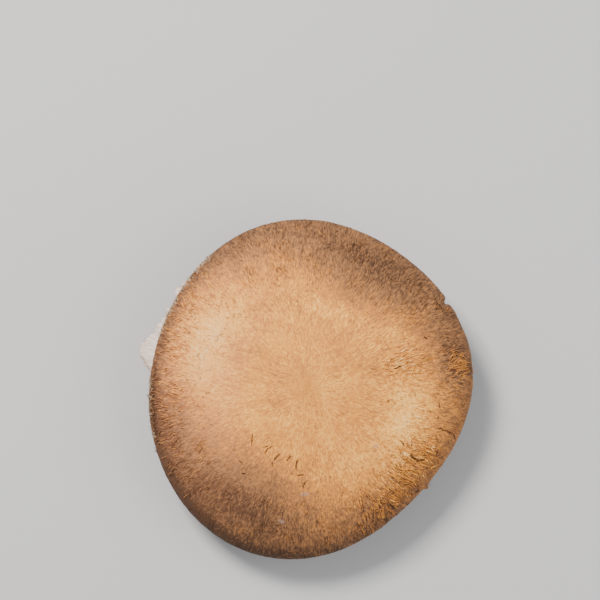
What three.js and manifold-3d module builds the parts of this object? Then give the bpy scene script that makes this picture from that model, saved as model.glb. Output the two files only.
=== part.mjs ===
// A portobello mushroom, whole, standing cap up on the cut end of its stem.
// Millimetres, +Z up, +Y towards the cap's raised side. The origin is the centre of the stem's cut face.
//
// Four solids, one for each of its colours: the cap with its rolled rim and the tufts of lifted fibres on
// its skin, the gills hanging side by side from a thin bed under the flesh, the stem with the ring that the
// veil left on it, and the torn shred of veil that still clings under one side of the rim.

import * as THREE from "three";
import { ParametricGeometry } from "three/addons/geometries/ParametricGeometry.js";
import { mergeVertices } from "three/addons/utils/BufferGeometryUtils.js";
import Module from "manifold-3d";

// Outline of the cap, seen from above: a mean radius and a few lobes, each with a crest at the bearing
// "toward", in degrees counterclockwise from +X.
const RIM_RADIUS = 62.2;
const RIM_LOBES = [
  { waves: 2, height: 2.4, toward: 66 },
  { waves: 3, height: 1.7, toward: 3 },
  { waves: 4, height: 0.6, toward: 5 },
];
// The rim also rises and dips on its way round, and these waves fade towards the crown.
const RIM_WAVES = [
  { waves: 2, height: 0.9, toward: 160 },
  { waves: 3, height: 0.7, toward: 40 },
  { waves: 5, height: 0.35, toward: 12 },
];
const WAVE_FADE = 2.5;

// The cap's own frame has its origin on the stem's axis, in the plane of the rim's lowest line.
const CAP_LIFT = 17.5; // height of that origin over the surface
const CAP_LEAN = THREE.MathUtils.degToRad(5); // the +Y side stands higher
const RIM_BELLY = 4.4; // height of the cap's widest line
const DOME_RISE = 22.5; // from there to the crown
const DOME_SHAPE = 2.15; // exponent of the dome's superellipse: 2 is an ellipse, more is fuller
const ROLL_WIDTH = 6.2; // thickness of the rolled rim
const ROLL_END = THREE.MathUtils.degToRad(-160); // how far the rim rolls in
const FLESH_LEVEL = 14; // underside of the flesh at the stem
const CAP_SLICES = 72;
const DOME_STEPS = 13;
const ROLL_STEPS = 5;
const CEILING_STEPS = 6;

// Tufts of fibres that lift from the skin, scattered round a few places near the rim.
const TUFT_PATCHES = [
  { toward: 9, share: 0.88, around: 6, inward: 0.05, count: 9 },
  { toward: 13, share: 0.5, around: 8, inward: 0.05, count: 4 },
  { toward: -38, share: 0.84, around: 11, inward: 0.06, count: 12 },
  { toward: -56, share: 0.88, around: 8, inward: 0.04, count: 8 },
  { toward: 150, share: 0.82, around: 150, inward: 0.1, count: 15 },
];
const TUFT_LENGTH = 5.5;
const TUFT_HALF_WIDTH = 1.3;
const TUFT_FLATNESS = 0.5;
const TUFT_ROOT_DEPTH = 0.6;
const TUFT_TIP_LIFT = 0.9;

// Gills of three lengths hang from one bed. They are free: they stop short of the stem.
const GAP = 0.3; // between neighbouring solids
const BED_THICKNESS = 1.2;
const GILL_THICKNESS = 0.65;
const GILL_INSET = 1.2; // from the roll of the rim to the gills' outer ends
const GILL_STARTS = [18, 27, 42]; // radii where full, half and short gills begin
const GILL_TURNS = [0, 2, 1, 2]; // shorter gills fill the room between longer ones
const FULL_GILLS = 46;
const GILL_EDGE = 1; // height of their lower edges
const GILL_INNER_RISE = 9; // the edges round up towards the stem and, less, towards the rim
const GILL_OUTER_RISE = 1.6;
const GILL_END_HEIGHT = 0.9; // a gill's height at its inner end, under the bed
const GILL_CORNERS = [0, 0.12, 0.6, 0.86, 1]; // corners of the lower edge, as shares of a gill's length

// Stem, with a ring round it.
const STEM_FOOT_RADIUS = 13.6;
const STEM_WAIST_RADIUS = 12.2;
const STEM_WAIST_AT = 0.45; // as a share of the stem's height
const STEM_HEAD_RADIUS = 14.6;
const STEM_FLARE = 5;
const STEM_EDGE = 0.9; // worn edge of the cut face
const STEM_LOBES = [
  { waves: 2, height: 0.45, toward: -14 },
  { waves: 3, height: 0.25, toward: 19 },
];
const STEM_SLICES = 40;
const STEM_STEPS = 18;
const RING_AT = 0.66;
const RING_WIDTH = 0.06;
const RING_STAND = 1.7;
const RING_TEARS = [
  { waves: 3, height: 0.2, toward: 11 },
  { waves: 8, height: 0.12, toward: 11 },
];

// Veil: a torn sheet from one bearing to another. It clings to the roll of the rim as far as the rim's
// lowest line, and from there it goes outwards. It is longest at two flaps.
const VEIL_FROM = THREE.MathUtils.degToRad(116);
const VEIL_TO = THREE.MathUtils.degToRad(192);
const VEIL_THICKNESS = 0.8;
const VEIL_CLEARANCE = 0.35;
const VEIL_START = THREE.MathUtils.degToRad(-140); // where on the roll it starts
const VEIL_BEND = 4.2; // length of the sheet that lies on each radian of the roll
const VEIL_DROOP = 0.16; // slope of its free part
const VEIL_LENGTH = 7.6;
const VEIL_TEARS = [
  { waves: 31, height: 0.7, toward: 3 },
  { waves: 53, height: 0.5, toward: 1 },
];
const VEIL_FLAPS = [
  { toward: 163.5, length: 5.0, spread: 7.5 },
  { toward: 140, length: 1.0, spread: 5 },
];
const VEIL_COLUMNS = 40;
const VEIL_STEPS = 6;

const { sin, cos, pow, exp, abs, min, max, round, PI } = Math;
const { degToRad, lerp, seededRandom } = THREE.MathUtils;

function waveSum(list, bearing) {
  return list.reduce((sum, wave) => sum + wave.height * cos(wave.waves * (bearing - degToRad(wave.toward))), 0);
}

function rimRadius(bearing) {
  return RIM_RADIUS + waveSum(RIM_LOBES, bearing);
}

// Radius where the roll of the rim ends and the underside begins.
function ceilingRadius(bearing) {
  return rimRadius(bearing) - (ROLL_WIDTH / 2) * (1 - cos(ROLL_END));
}

// The underside of the flesh rises from the roll of the rim, and is level at the stem.
function ceilingHeight(radius, bearing) {
  const outer = ceilingRadius(bearing);
  const inward = min(1, max(0, (outer - radius) / (outer - STEM_HEAD_RADIUS)));
  return lerp(RIM_BELLY * (1 + sin(ROLL_END)), FLESH_LEVEL, pow(sin((inward * PI) / 2), 0.9));
}

function rimWave(radius, bearing) {
  return waveSum(RIM_WAVES, bearing) * pow(radius / rimRadius(bearing), WAVE_FADE);
}

// Places a point of the cap, its gills or its veil.
function placeInCap(target, radius, bearing, height) {
  return target.set(radius * cos(bearing), radius * sin(bearing), height + rimWave(radius, bearing));
}

// Height of the skin, with its shallow swells and dents.
function skinHeight(radius, bearing) {
  const share = min(1, radius / rimRadius(bearing));
  const dome = RIM_BELLY + DOME_RISE * pow(1 - pow(share, DOME_SHAPE), 1 / DOME_SHAPE);
  const x = radius * cos(bearing);
  const y = radius * sin(bearing);
  const swell = 0.7 * sin(x / 15 + 0.6) * cos(y / 19 - 0.4) + 0.45 * sin((x - 1.4 * y) / 12 + 2);
  return dome + swell * (1 - pow(share, 4));
}

// Section of the cap: over the dome from the crown, round the roll of the rim, and in under the flesh.
function capSection(bearing) {
  const rim = rimRadius(bearing);
  const points = [];
  for (let i = 0; i <= DOME_STEPS; i++) {
    const radius = rim * pow(sin((PI / 2) * (i / DOME_STEPS)), 2 / DOME_SHAPE);
    points.push([radius, skinHeight(radius, bearing)]);
  }
  for (let i = 1; i <= ROLL_STEPS; i++) {
    const swing = ROLL_END * (i / ROLL_STEPS);
    points.push([rim - (ROLL_WIDTH / 2) * (1 - cos(swing)), RIM_BELLY * (1 + sin(swing))]);
  }
  for (let i = 1; i <= CEILING_STEPS; i++) {
    const radius = lerp(ceilingRadius(bearing), STEM_HEAD_RADIUS, i / CEILING_STEPS);
    points.push([radius, ceilingHeight(radius, bearing)]);
  }
  points.push([0, FLESH_LEVEL]);
  return points;
}

// A surface from one section for each bearing, all the way round. place() puts a section's point in space.
function turned(section, slices, place) {
  const rows = section(0).length - 1;
  const surface = (u, v, target) => {
    const bearing = -2 * PI * u;
    const [radius, height] = section(bearing)[round(v * rows)];
    place(target, radius, bearing, height);
  };
  return new ParametricGeometry(surface, slices, rows);
}

// Stations round a sheet's section: out along one face, back along the other, and closed.
function sheetLoop(steps) {
  const out = Array.from({ length: steps + 1 }, (_, step) => ({ step, face: 0 }));
  const back = out.map(({ step }) => ({ step: steps - step, face: 1 }));
  return [...out, ...back, out[0]];
}

function bedSection(bearing) {
  const radii = [...GILL_STARTS, ceilingRadius(bearing) - GILL_INSET / 2];
  return sheetLoop(GILL_STARTS.length).map(({ step, face }) => {
    const height = ceilingHeight(radii[step], bearing) - GAP - BED_THICKNESS * face;
    return [radii[step], height];
  });
}

// One gill is an upright plate. Its root lies in the bed, and its lower edge is rounded at both ends.
function gillGeometry(startRadius, bearing) {
  const outer = ceilingRadius(bearing) - GILL_INSET;
  const bedRadii = [...GILL_STARTS.filter((radius) => radius >= startRadius), outer];
  const rootHeight = (radius) =>
    ceilingHeight(radius, bearing) - GAP - BED_THICKNESS / 2 + rimWave(radius, bearing);
  const root = bedRadii.map((radius) => new THREE.Vector2(radius, rootHeight(radius)));
  const edge = GILL_CORNERS.map((share) => {
    const radius = lerp(outer, startRadius, share);
    const inward = (outer - radius) / (outer - GILL_STARTS[0]);
    const rise = GILL_INNER_RISE * pow(inward, 8) + GILL_OUTER_RISE * pow(1 - inward, 6);
    const free = GILL_EDGE + rise + rimWave(radius, bearing);
    const end = rootHeight(radius) - BED_THICKNESS / 2 - GILL_END_HEIGHT;
    return new THREE.Vector2(radius, lerp(free, end, pow(share, 8)));
  });
  const side = new THREE.Shape([...root, ...edge]);
  const plate = new THREE.ExtrudeGeometry(side, { depth: GILL_THICKNESS, bevelEnabled: false });
  plate.translate(0, 0, -GILL_THICKNESS / 2);
  plate.rotateX(PI / 2);
  plate.rotateZ(bearing);
  return plate;
}

function gillGeometries() {
  const count = FULL_GILLS * GILL_TURNS.length;
  return Array.from({ length: count }, (_, i) =>
    gillGeometry(GILL_STARTS[GILL_TURNS[i % GILL_TURNS.length]], (2 * PI * (i + 0.5)) / count),
  );
}

// One tuft is a flat point that leaves the skin towards the rim.
function tuftGeometry(bearing, share) {
  const middle = rimRadius(bearing) * share;
  const onSkin = (radius) => placeInCap(new THREE.Vector3(), radius, bearing, skinHeight(radius, bearing));
  const root = onSkin(middle - TUFT_LENGTH / 2);
  const tip = onSkin(middle + TUFT_LENGTH / 2);
  const across = new THREE.Vector3(-sin(bearing), cos(bearing), 0);
  const normal = tip.clone().sub(root).cross(across).normalize();
  root.addScaledVector(normal, -TUFT_ROOT_DEPTH);
  tip.addScaledVector(normal, TUFT_TIP_LIFT);
  const along = tip.clone().sub(root);
  const point = new THREE.ConeGeometry(TUFT_HALF_WIDTH, along.length(), 4);
  point.scale(1, 1, TUFT_FLATNESS);
  along.normalize();
  point.applyMatrix4(
    new THREE.Matrix4()
      .makeBasis(across, along, across.clone().cross(along))
      .setPosition(root.add(tip).multiplyScalar(0.5)),
  );
  return point;
}

function tuftGeometries() {
  seededRandom(11);
  return TUFT_PATCHES.flatMap(({ toward, share, around, inward, count }) =>
    Array.from({ length: count }, () => {
      const bearing = degToRad(toward + around * (2 * seededRandom() - 1));
      return tuftGeometry(bearing, share + inward * (2 * seededRandom() - 1));
    }),
  );
}

// Radius of the stem at a share of its height.
function stemRadius(share, bearing) {
  const taper = sin((PI / 2) * min(1, share / STEM_WAIST_AT));
  const flare = (STEM_HEAD_RADIUS - STEM_WAIST_RADIUS) * pow(share, STEM_FLARE);
  const ring = RING_STAND * exp(-pow((share - RING_AT) / RING_WIDTH, 2));
  const ragged = 0.75 + waveSum(RING_TEARS, bearing);
  return lerp(STEM_FOOT_RADIUS, STEM_WAIST_RADIUS, taper) + flare + ring * ragged + waveSum(STEM_LOBES, bearing);
}

// Section of the stem, as radii at shares of its height, which are below 0 on the cut face.
function stemSection(bearing) {
  const points = [[0, 1]];
  for (let i = STEM_STEPS; i >= 0; i--) {
    points.push([stemRadius(i / STEM_STEPS, bearing), i / STEM_STEPS]);
  }
  points.push([stemRadius(0, bearing) - STEM_EDGE, -1], [0, -1]);
  return points;
}

// The stem's foot lies level on the surface, and its head is parallel to the leaning cap.
function placeInStem(capMatrix) {
  const foot = new THREE.Vector3();
  const head = new THREE.Vector3();
  return (target, radius, bearing, share) => {
    foot.set(radius * cos(bearing), radius * sin(bearing), share < 0 ? 0 : STEM_EDGE);
    head.set(radius * cos(bearing), radius * sin(bearing), FLESH_LEVEL - GAP).applyMatrix4(capMatrix);
    target.copy(foot).lerp(head, max(0, share));
  };
}

function veilLength(bearing, along) {
  const flaps = VEIL_FLAPS.map(({ toward, length, spread }) =>
    length * exp(-pow(abs(bearing - degToRad(toward)) / degToRad(spread), 3)),
  );
  const whole = flaps.reduce((a, b) => a + b, VEIL_LENGTH + waveSum(VEIL_TEARS, bearing));
  return whole * pow(sin(PI * lerp(0.02, 0.98, along)), 0.35);
}

// Columns of the sheet follow the rim. The first and last ones close its ends.
function veilGeometry() {
  const loop = sheetLoop(VEIL_STEPS);
  const columns = VEIL_COLUMNS + 2;
  const surface = (u, v, target) => {
    const column = round(u * columns);
    const along = min(1, max(0, (column - 1) / VEIL_COLUMNS));
    const bearing = lerp(VEIL_TO, VEIL_FROM, along);
    const { step, face } = loop[round(v * (loop.length - 1))];
    const depth = VEIL_CLEARANCE + VEIL_THICKNESS * (column % columns === 0 ? 0.5 : face);
    const length = (veilLength(bearing, along) * step) / VEIL_STEPS;
    const swing = min(-PI / 2, VEIL_START + length / VEIL_BEND);
    const free = max(0, length - VEIL_BEND * (-PI / 2 - VEIL_START));
    const radius = rimRadius(bearing) - ROLL_WIDTH / 2 + (ROLL_WIDTH / 2 + depth) * cos(swing) + free;
    placeInCap(target, radius, bearing, RIM_BELLY + (RIM_BELLY + depth) * sin(swing) - VEIL_DROOP * free);
  };
  return new ParametricGeometry(surface, columns, loop.length - 1);
}

const wasm = await Module();
wasm.setup();

// Shared corners become one vertex.
function welded(geometry) {
  const bare = geometry.clone();
  bare.deleteAttribute("normal");
  bare.deleteAttribute("uv");
  return mergeVertices(bare, 1e-3);
}

function toSolid(geometry) {
  const { attributes, index } = welded(geometry);
  return new wasm.Manifold(
    new wasm.Mesh({
      numProp: 3,
      vertProperties: attributes.position.array,
      triVerts: new Uint32Array(index.array),
    }),
  );
}

function fused(geometries) {
  const mesh = geometries.map(toSolid).reduce((a, b) => a.add(b)).getMesh();
  const geometry = new THREE.BufferGeometry();
  geometry.setAttribute("position", new THREE.BufferAttribute(mesh.vertProperties, 3));
  geometry.setIndex(new THREE.BufferAttribute(mesh.triVerts, 1));
  return geometry;
}

function piece(name, geometry, color, roughness) {
  const mesh = new THREE.Mesh(welded(geometry), new THREE.MeshStandardMaterial({ color, roughness, metalness: 0 }));
  mesh.geometry.computeVertexNormals();
  mesh.name = name;
  return mesh;
}

const capFrame = new THREE.Group();
capFrame.position.z = CAP_LIFT;
capFrame.rotation.x = CAP_LEAN;
capFrame.updateMatrix();

const cap = fused([turned(capSection, CAP_SLICES, placeInCap), ...tuftGeometries()]);
const gills = fused([turned(bedSection, FULL_GILLS, placeInCap), ...gillGeometries()]);
const stem = turned(stemSection, STEM_SLICES, placeInStem(capFrame.matrix));
capFrame.add(piece("cap", cap, 0xc1905f, 0.85));
capFrame.add(piece("gills", gills, 0x4a3226, 0.9));
capFrame.add(piece("veil", veilGeometry(), 0xe2d3c0, 0.9));

const mushroom = new THREE.Group();
mushroom.add(capFrame);
mushroom.add(piece("stem", stem, 0xd9c7ae, 0.85));

export default mushroom;
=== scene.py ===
"""Dresses the portobello mushroom: a cap skin with cracks, combed fibres and tufts, some 560 gills, a
fibrous stem, and the torn veil.

Shapes are worked out in millimetres, most of them in the cap's own frame, where the origin is on the stem's
axis in the plane of the rim's lowest line. They are turned to the frame's metres when a mesh is made.
"""

import math

import bmesh
import bpy
import numpy as np
from mathutils import Matrix, Vector


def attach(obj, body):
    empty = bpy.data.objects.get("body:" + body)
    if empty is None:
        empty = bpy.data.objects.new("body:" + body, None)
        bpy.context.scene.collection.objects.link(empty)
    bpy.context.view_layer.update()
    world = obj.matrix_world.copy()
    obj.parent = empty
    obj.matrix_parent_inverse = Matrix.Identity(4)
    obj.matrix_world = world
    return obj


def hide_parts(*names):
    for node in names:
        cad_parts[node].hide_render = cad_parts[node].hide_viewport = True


MM = 0.001

# The cap's outline: mean radius, and lobes as (waves, height, bearing of a crest in degrees).
RIM_RADIUS = 62.2
RIM_LOBES = ((2, 2.4, 66), (3, 1.7, 3), (4, 0.6, 5))
RIM_WAVES = ((2, 0.9, 160), (3, 0.7, 40), (5, 0.35, 12))
WAVE_FADE = 2.5

# The cap's section.
CAP_LIFT = 17.5
CAP_LEAN = math.radians(5)
RIM_BELLY = 4.4
DOME_RISE = 22.5
DOME_SHAPE = 2.15
ROLL_WIDTH = 6.2
ROLL_END = math.radians(-160)
FLESH_LEVEL = 14.0
CAP_COLUMNS = 600
DOME_ROWS = 116
ROLL_ROWS = 26
CEILING_ROWS = 17

# Damage at the rim: (bearing in degrees, width, depth).
RIM_DAMAGE = ((31.5, 1.1, 1.5), (-39.5, 0.8, -1.3))

# Cracks of the skin: (x, y, length, width, heading in degrees, bow).
CRACKS = (
    (-19.9, -18.4, 5.1, 0.34, 86, 0.3),
    (-15.2, -21.4, 2.6, 0.3, 10, 0.3),
    (-13.8, -22.5, 4.8, 0.42, 43, 0.5),
    (-10.8, -24.9, 3.6, 0.6, 46, 0),
    (-6.4, -25.4, 2.9, 0.5, 51, 0),
    (-12.6, -27.7, 2.3, 0.5, 93, 0.1),
    (-2.6, -28.0, 4.4, 0.6, 81, 1.1),
    (-24.3, -26.8, 1.8, 0.5, -30, -0.2),
    (-23.4, -31.5, 1.7, 0.6, 4, 0.2),
    (-2.2, -31.9, 3.0, 0.6, 8, 0.2),
    (-0.7, -35.5, 3.2, 0.5, 68, 0.2),
    (33.9, 8.0, 4.2, 0.45, 24, 0.1),
    (44.2, 18.8, 2.0, 0.6, -35, 0.3),
    (30.2, -4.5, 1.3, 0.5, 60, 0),
    (49.6, -6.2, 2.2, 0.45, 92, 0),
    (49.1, -10.6, 1.6, 0.4, 75, 0),
    (55.1, 6.9, 2.6, 1.2, -15, 0),
    (51.9, -15.9, 7.6, 0.75, -22, 0.2),
    (55.7, -18.2, 2.8, 0.7, -69, 0),
    (39.8, -25.7, 4.0, 0.8, -39, 0.2),
    (42.5, -26.5, 4.2, 0.8, 9, -0.2),
    (49.3, -24.0, 2.8, 0.4, 77, 0.2),
    (35.7, -20.2, 3.2, 0.6, -58, 0.1),
    (41.7, -38.7, 2.4, 0.9, 36, 0),
    (31.6, -43.8, 4.2, 0.5, -51, 0.2),
)
CRACK_DEPTH = 0.5

# Pale bruises of the skin, given as the cracks are.
BRUISES = (
    (25.7, -21.0, 2.6, 2.0, 40, 0),
    (-0.6, -39.0, 4.0, 1.8, 10, 0),
    (-9.2, -49.3, 3.2, 1.6, -25, 0),
)

# The pale margin on the right of the rim.
MARGIN_BEARING = -6
MARGIN_SPREAD = 40
MARGIN_SLOPE = 0.99
MARGIN_WIDTH = 0.03
MARGIN_STAND = 0.45

# Patches of lifted fibres: (bearing, share of the radius, spread in degrees and in shares, count, tone).
TUFT_PATCHES = (
    (8, 0.89, 5, 0.05, 150, -0.16),
    (14, 0.56, 9, 0.07, 100, -0.05),
    (-36, 0.8, 13, 0.08, 320, -0.06),
    (-55, 0.86, 10, 0.07, 260, -0.07),
    (152, 0.88, 16, 0.06, 170, -0.05),
    (186, 0.985, 13, 0.015, 170, -0.22),
    (192, 0.86, 22, 0.08, 260, -0.06),
)
SCATTERED_TUFTS = 700
FELT_FIBRES = 15500

# Bearings of the stray hairs at the rim, and how many slivers each has.
STRAY_HAIRS = (5.5, 6.8, 183, 203, 322)
STRAY_SLIVERS = 4

# The torn seam at the rim's left edge: the bearings of its gaps, how many fibres fray there, its share of
# the radius, its width in shares, its depth, and how much painted shade darkens the skin in its gaps.
FRAYED_AT = (128, 133, 138, 141, 147, 152, 158, 178, 184, 189, 196)
FRAYED_FIBRES = 480
SEAM_AT = 0.989
SEAM_WIDTH = 0.0032
SEAM_DEPTH = 0.4
SEAM_PAINTED_SHADE = 0.4

# The groove on the left of the rim.
GROOVE_BEARING = 186
GROOVE_SPREAD = 11
GROOVE_AT = 0.972
GROOVE_WIDTH = 0.01
GROOVE_DEPTH = 0.4

# Fibres: the least and the most length, width and lift.
FELT_SIZES = ((1.3, 3.0), (0.16, 0.4), (0.0, 0.22))
TUFT_SIZES = ((2.0, 4.6), (0.35, 0.95), (0.2, 1.2))
FRAYED_SIZES = ((1.0, 2.4), (0.2, 0.55), (0.2, 1.0))
THREAD_SIZES = ((0.8, 2.0), (0.15, 0.4), (-0.4, 0.4))
FELT_THICKNESS = 0.16
TUFT_THICKNESS = 0.26
THREAD_THICKNESS = 0.16

# Rows along a fibre and corners round it.
FELT_GRID = (4, 3)
TUFT_GRID = (7, 4)

# How dark the skin is at the crown, and how much darker at the rim.
CROWN_DARKNESS = 0.24
RIM_DARKNESS = 0.5

# Broad tones of the skin: (change, bearing, spread in degrees, the shares of the radius where it begins and
# is full, those where it starts to fade and has faded, and the part of it that fades).
SKIN_TONES = (
    (0.3, 62, 26, 0.45, 0.68, 0.8, 0.98, 0.9),
    (0.52, 242, 32, 0.36, 0.68, 0.7, 0.93, 0.8),
    (-0.48, 155, 28, 0.45, 0.75, 0.87, 0.97, 0.75),
    (0.14, 184, 13, 0.87, 0.93, 1, 2, 0),
    (-0.27, -26, 26, 0.5, 0.72, 0.85, 0.95, 1),
    (0.14, 205, 26, 0.66, 0.85, 1, 2, 0),
    (0.24, 222, 62, 0.89, 0.975, 1, 2, 0),
    (-0.21, -26, 26, 0.84, 0.92, 1, 2, 0),
)

# Bands of tone: (change, bearing, spread in degrees, share of the radius, spread in shares).
SKIN_BANDS = (
    # Painted shade along the groove, which the relief carves into the skin as well.
    (0.25, GROOVE_BEARING, GROOVE_SPREAD, GROOVE_AT, 0.009),
    (0.16, 15, 9, 0.87, 0.06),
    (-0.12, 0, 34, 0.56, 0.12),
)

# Cylinders that noise along the radii is read on: (radius, distance from the axis where it takes over).
NOISE_RINGS = ((12, 0), (28, 18), (50, 38))

# Gills.
GAP = 0.3
BED_THICKNESS = 1.2
BED_COLUMNS = 240
GILL_INSET = 1.2
GILL_STARTS = (18, 27, 42)
GILL_TURNS = (0, 2, 1, 2)
FULL_GILLS = 140
GILL_ROWS = 13
GILL_ROOT_THICKNESS = 0.42
GILL_EDGE_THICKNESS = 0.16
GILL_EDGE = 1.0
GILL_INNER_RISE = 9
GILL_OUTER_RISE = 1.6
GILL_END_HEIGHT = 0.9

# Stem.
STEM_FOOT_RADIUS = 13.6
STEM_WAIST_RADIUS = 12.2
STEM_WAIST_AT = 0.45
STEM_HEAD_RADIUS = 14.6
STEM_FLARE = 5
STEM_EDGE = 0.9
STEM_LOBES = ((2, 0.45, -14), (3, 0.25, 19))
STEM_COLUMNS = 240
STEM_ROWS = 120
STEM_HEAD_ROWS = 5
STEM_CUT_ROWS = 16
RING_AT = 0.66
RING_WIDTH = 0.06
RING_STAND = 1.7
RING_TEARS = ((3, 0.2, 11), (8, 0.12, 11))

# Veil.
VEIL_FROM = math.radians(116)
VEIL_TO = math.radians(192)
VEIL_THICKNESS = 0.6
VEIL_CLEARANCE = 0.4
VEIL_START = math.radians(-140)
VEIL_BEND = 4.2
VEIL_DROOP = 0.16
VEIL_LENGTH = 7.6
VEIL_TEARS = ((31, 0.7, 3), (53, 0.5, 1), (97, 0.35, 2), (171, 0.25, 1))
VEIL_COLUMNS = 300
VEIL_ROWS = 16
VEIL_THREADS = 260
# Bearings where the torn edge's brown, partly frays and partly painted shade, grows to its full.
VEIL_BROWN_FROM = math.radians(167)
VEIL_BROWN_TO = math.radians(170)

# Flaps of the veil: (bearing of the tip, length, spread in degrees before the tip and after it).
VEIL_FLAPS = ((168, 6.4, 14, 8), (140, 0.8, 6, 6))

# The photograph's view: 228 mm of the surface across the frame.
LENS = 120
CAMERA_DISTANCE = 0.7635
CAMERA_TILT = math.radians(-6)
CAMERA_AIM = Vector((-2.4, 33.2, 22.0)) * MM


# Numbers

def smooth(low, high, value):
    """0 below low, 1 above high, and an S-curve between them."""
    share = np.clip((value - low) / (high - low), 0, 1)
    return share * share * (3 - 2 * share)


def bell(value, middle, width):
    """A bell curve, 1 at the middle."""
    return np.exp(-(((value - middle) / width) ** 2))


def near(bearing, toward, spread):
    """A bell over the bearings, 1 at toward; both angles are in degrees."""
    off = (np.degrees(bearing) - toward + 180) % 360 - 180
    return bell(off, 0, spread)


def ripple(points, size, seed, octaves=3):
    """Smooth noise of about -1 to 1: sine waves in drawn directions, finer and lower with each octave."""
    draw = np.random.default_rng(seed)
    total = np.zeros(points.shape[:-1])
    for octave in range(octaves):
        for _ in range(7):
            heading = draw.normal(size=3)
            heading *= 2 * math.pi / (size * 0.5**octave * np.linalg.norm(heading))
            total += 0.6**octave * np.sin(points @ heading + draw.uniform(0, 2 * math.pi))
    return total / (2.6 * octaves**0.5)


def unit(vectors):
    """The vectors at length 1."""
    return vectors / np.maximum(np.linalg.norm(vectors, axis=-1, keepdims=True), 1e-9)


def radial(bearing, radius, ring, stretch):
    """Points on a cylinder for noise that is drawn out along the radii by the factor stretch."""
    return np.stack([ring * np.cos(bearing), ring * np.sin(bearing), radius / stretch], axis=-1)


# The mushroom's form, as in the part

def wave_sum(waves, bearing):
    """The sum of cosine waves round the axis."""
    return sum(height * np.cos(count * (bearing - math.radians(toward))) for count, height, toward in waves)


def rim_radius(bearing):
    """Radius of the outline: a circle with lobes."""
    return RIM_RADIUS + wave_sum(RIM_LOBES, bearing)


def ceiling_radius(bearing):
    """Radius where the roll of the rim ends and the underside begins."""
    return rim_radius(bearing) - ROLL_WIDTH / 2 * (1 - math.cos(ROLL_END))


def ceiling_height(radius, bearing):
    """Underside of the flesh: a quarter sine wave from the roll of the rim up to the stem."""
    outer = ceiling_radius(bearing)
    inward = np.clip((outer - radius) / (outer - STEM_HEAD_RADIUS), 0, 1)
    low = RIM_BELLY * (1 + math.sin(ROLL_END))
    return low + (FLESH_LEVEL - low) * np.sin(inward * math.pi / 2) ** 0.9


def rim_wave(radius, bearing):
    """Rise and dip of the rim, which fades towards the crown as a power of the radius."""
    return wave_sum(RIM_WAVES, bearing) * (radius / rim_radius(bearing)) ** WAVE_FADE


def in_cap(radius, bearing, height):
    """Points in the cap's frame from a radius, a bearing and a height over the waving rim."""
    rise = height + rim_wave(radius, bearing)
    return np.stack(np.broadcast_arrays(radius * np.cos(bearing), radius * np.sin(bearing), rise), axis=-1)


def skin_height(radius, bearing):
    """Height of the skin: a superellipse with shallow swells and dents."""
    share = np.minimum(1, radius / rim_radius(bearing))
    dome = RIM_BELLY + DOME_RISE * (1 - share**DOME_SHAPE) ** (1 / DOME_SHAPE)
    x = radius * np.cos(bearing)
    y = radius * np.sin(bearing)
    swell = 0.7 * np.sin(x / 15 + 0.6) * np.cos(y / 19 - 0.4) + 0.45 * np.sin((x - 1.4 * y) / 12 + 2)
    return dome + swell * (1 - share**4)


def lifted(points):
    """Turns points of the cap's frame to the frame's metres: leant about X, then raised."""
    x, y, z = np.moveaxis(points, -1, 0)
    cos, sin = math.cos(CAP_LEAN), math.sin(CAP_LEAN)
    return np.stack([x, y * cos - z * sin, y * sin + z * cos + CAP_LIFT], axis=-1) * MM


def sheet_loop(steps):
    """Stations round a sheet's section: shares of its length out on one face and back on the other."""
    out = np.linspace(0, 1, steps)
    return np.concatenate([out, out[::-1]]), np.repeat([0.0, 1.0], steps)


# Meshes

def grid_faces(count, rows, columns, ring):
    """Quads of count grids whose columns wrap round, and whose rows do too if ring is true."""
    i, j = np.meshgrid(np.arange(rows if ring else rows - 1), np.arange(columns), indexing="ij")
    i_next = (i + 1) % rows
    j_next = (j + 1) % columns
    corners = [i * columns + j, i_next * columns + j, i_next * columns + j_next, i * columns + j_next]
    quads = np.stack(corners, axis=-1).reshape(-1, 4)
    return (quads + (np.arange(count) * rows * columns)[:, None, None]).reshape(-1, 4)


def make_piece(name, grids, material, replaces=None):
    """One closed mesh from grids of shape (count, rows, columns, 3), each with its colours and ring flag.

    The ends of a grid that isn't a ring come to a point or a line, which merging its doubles closes.
    """
    points, colours, faces, start = [], [], [], 0
    for grid, colour, ring in grids:
        count, rows, columns, _ = grid.shape
        points.append(grid.reshape(-1, 3))
        colours.append(np.broadcast_to(colour, (count, rows, columns, 4)).reshape(-1, 4))
        faces.append(grid_faces(count, rows, columns, ring) + start)
        start += count * rows * columns
    faces = np.concatenate(faces)
    mesh = bpy.data.meshes.new(name)
    mesh.vertices.add(start)
    mesh.vertices.foreach_set("co", np.concatenate(points).ravel())
    mesh.loops.add(faces.size)
    mesh.loops.foreach_set("vertex_index", faces.ravel())
    mesh.polygons.add(len(faces))
    mesh.polygons.foreach_set("loop_start", np.arange(0, faces.size, 4))
    mesh.update(calc_edges=True)
    shade = mesh.attributes.new("shade", "FLOAT_COLOR", "POINT")
    shade.data.foreach_set("color", np.concatenate(colours).ravel())
    merged = bmesh.new()
    merged.from_mesh(mesh)
    bmesh.ops.remove_doubles(merged, verts=merged.verts, dist=2e-6)
    bmesh.ops.recalc_face_normals(merged, faces=merged.faces)
    merged.to_mesh(mesh)
    merged.free()
    mesh.polygons.foreach_set("use_smooth", np.ones(len(mesh.polygons), dtype=bool))
    mesh.materials.append(material)
    piece = bpy.data.objects.new(name, mesh)
    bpy.context.collection.objects.link(piece)
    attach(piece, "root")
    if replaces:
        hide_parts(replaces)
    return piece


# The skin's points, and the fibres on it

def dome_share(slope):
    """The share of the radius at a slope of the skin, which is 1 from the widest line on."""
    return np.sin(np.minimum(slope, 1) * math.pi / 2) ** (2 / DOME_SHAPE)


def dome_slope(share):
    """The slope of the skin at a share of the radius."""
    return np.arcsin(share ** (DOME_SHAPE / 2)) / (math.pi / 2)


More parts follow.
